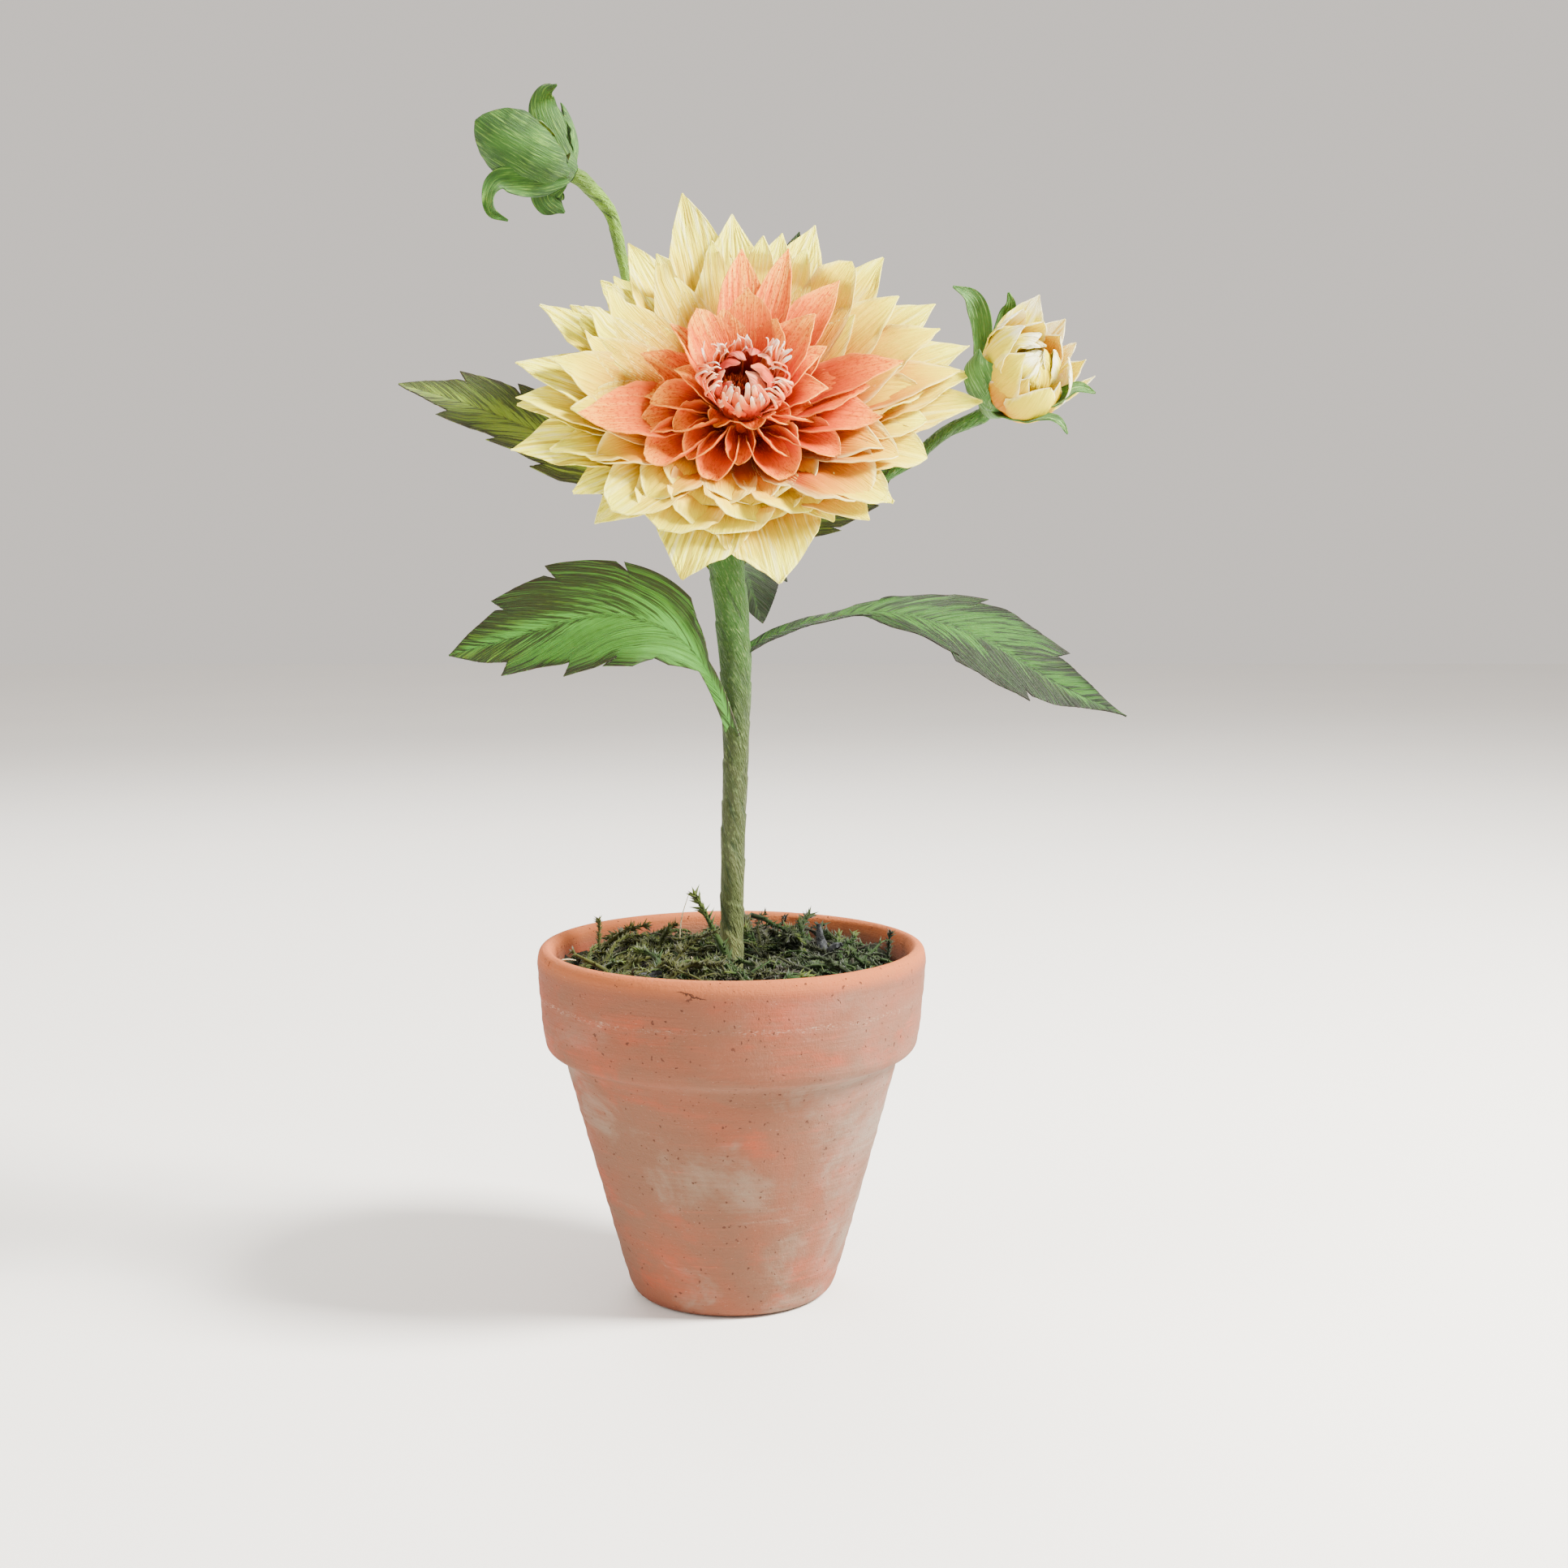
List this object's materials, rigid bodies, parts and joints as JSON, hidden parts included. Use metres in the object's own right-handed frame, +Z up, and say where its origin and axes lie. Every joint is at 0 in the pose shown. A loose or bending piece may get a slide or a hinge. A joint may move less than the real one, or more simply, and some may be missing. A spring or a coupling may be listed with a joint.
{
  "type": "potted dahlia",
  "caption": "Crepe-paper dahlia with a large yellow and coral bloom, buds and toothed leaves, planted in a terracotta pot under moss.",
  "frame": {"origin": "middle of the object's footprint, on the surface that the pot stands on; the pot's axis is 12.7 mm from it, at x = -0.0127, y = 0", "axes": "+Z up along the pot's axis, -Y towards the viewer whom the bloom faces, +X to that viewer's right"},
  "size_m": [0.278, 0.1524, 0.4702],
  "materials": {
    "terracotta": "weathered bare clay with a chalky bloom",
    "soil": "dry crumbs",
    "moss": "stringy, dull",
    "stem_wrap": "crinkled paper wrap",
    "leaf_paper": "fine-grained paper, matte",
    "sepal_paper": "crepe paper, matte",
    "yellow_paper": "crepe paper, matte, cream at the tips",
    "coral_paper": "crepe paper, matte, mottled",
    "centre_paper": "crepe paper, matte, fringed",
    "bud_paper": "crepe paper, matte"
  },
  "bodies": {
    "root": {"pot": "terracotta", "soil": "soil", "moss": "moss", "stem": "stem_wrap", "bloom_calyx": "sepal_paper", "bloom_yellow_petals": "yellow_paper", "bloom_coral_petals": "coral_paper", "bloom_centre": "centre_paper", "left_bud_petals": "bud_paper", "left_bud_sepals": "sepal_paper", "right_bud_petals": "bud_paper", "right_bud_sepals": "sepal_paper", "leaf_left": "leaf_paper", "leaf_right": "leaf_paper", "leaf_upper_left": "leaf_paper", "leaf_upper_right": "leaf_paper", "leaf_back_low": "leaf_paper", "leaf_back_high": "leaf_paper"}
  },
  "joints": []
}
